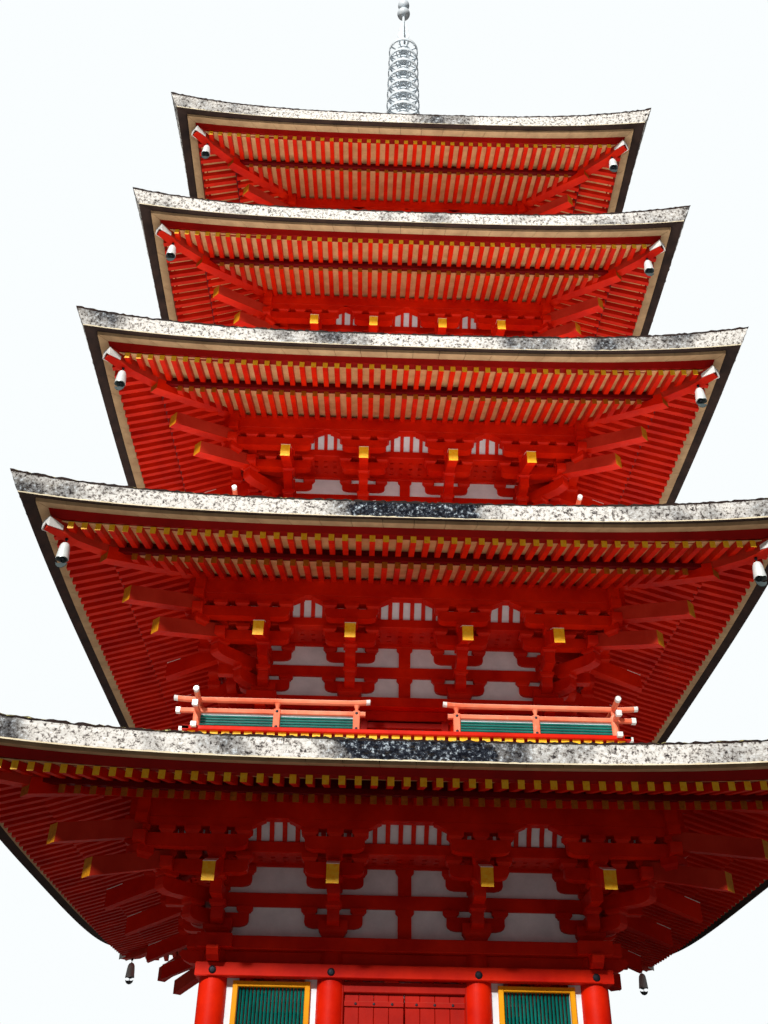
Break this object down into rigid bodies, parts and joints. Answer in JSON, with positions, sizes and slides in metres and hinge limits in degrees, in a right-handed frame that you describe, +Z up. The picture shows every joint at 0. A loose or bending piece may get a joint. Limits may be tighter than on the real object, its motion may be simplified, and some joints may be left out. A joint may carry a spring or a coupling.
{
  "type": "five-storied timber pagoda",
  "caption": "Square storied pagoda of vermilion timber on a stone podium, with bracketed deep eaves, bark roofs, railed balconies, wind bells and a tall ringed bronze finial.",
  "frame": {"origin": "middle of the podium's foot, on the ground", "axes": "+Z up along the mast, -Y out of the front the picture looks up at, +X to the right of it"},
  "size_m": [11.3344, 11.3344, 31.12],
  "materials": {
    "vermilion_timber": "opaque vermilion paint, satin, slightly faded where the sun reaches it",
    "door_timber": "opaque dark vermilion paint on planks",
    "rafter_end_gold": "yellow ochre paint on the cut ends of rafters and joists",
    "white_plaster": "matte lime plaster",
    "green_lattice": "opaque blue-green paint, satin",
    "eave_board": "bare weathered cypress",
    "cypress_bark": "layered cypress bark with lichen and moss",
    "white_cap_metal": "pale metal caps with fine wear",
    "bell_metal": "weathered bronze with pale bloom",
    "weathered_bronze": "dark bronze with blue-green patina",
    "black_iron": "black lacquered iron",
    "granite": "dressed grey granite"
  },
  "bodies": {
    "root": {"podium": "granite", "steps_front": "granite", "steps_right": "granite", "steps_back": "granite", "steps_left": "granite", "storey1_wall_front": "vermilion_timber", "storey1_door_front": "door_timber", "storey1_wall_right": "vermilion_timber", "storey1_door_right": "door_timber", "storey1_wall_back": "vermilion_timber", "storey1_door_back": "door_timber", "storey1_wall_left": "vermilion_timber", "storey1_door_left": "door_timber", "storey1_frame": "vermilion_timber", "storey1_brackets": "vermilion_timber", "roof1_rafters": "vermilion_timber", "roof1_bark": "cypress_bark", "storey2_balcony": "vermilion_timber", "storey2_body": "vermilion_timber", "storey2_brackets": "vermilion_timber", "roof2_rafters": "vermilion_timber", "roof2_bark": "cypress_bark", "storey3_balcony": "vermilion_timber", "storey3_body": "vermilion_timber", "storey3_brackets": "vermilion_timber", "roof3_rafters": "vermilion_timber", "roof3_bark": "cypress_bark", "storey4_balcony": "vermilion_timber", "storey4_body": "vermilion_timber", "storey4_brackets": "vermilion_timber", "roof4_rafters": "vermilion_timber", "roof4_bark": "cypress_bark", "storey5_balcony": "vermilion_timber", "storey5_body": "vermilion_timber", "storey5_brackets": "vermilion_timber", "roof5_rafters": "vermilion_timber", "roof5_bark": "cypress_bark", "finial_base": "weathered_bronze", "finial_bowl": "weathered_bronze", "finial_lotus": "weathered_bronze", "finial_mast_and_rings": "weathered_bronze", "finial_flame": "weathered_bronze", "finial_jewels": "weathered_bronze"}
  },
  "joints": []
}
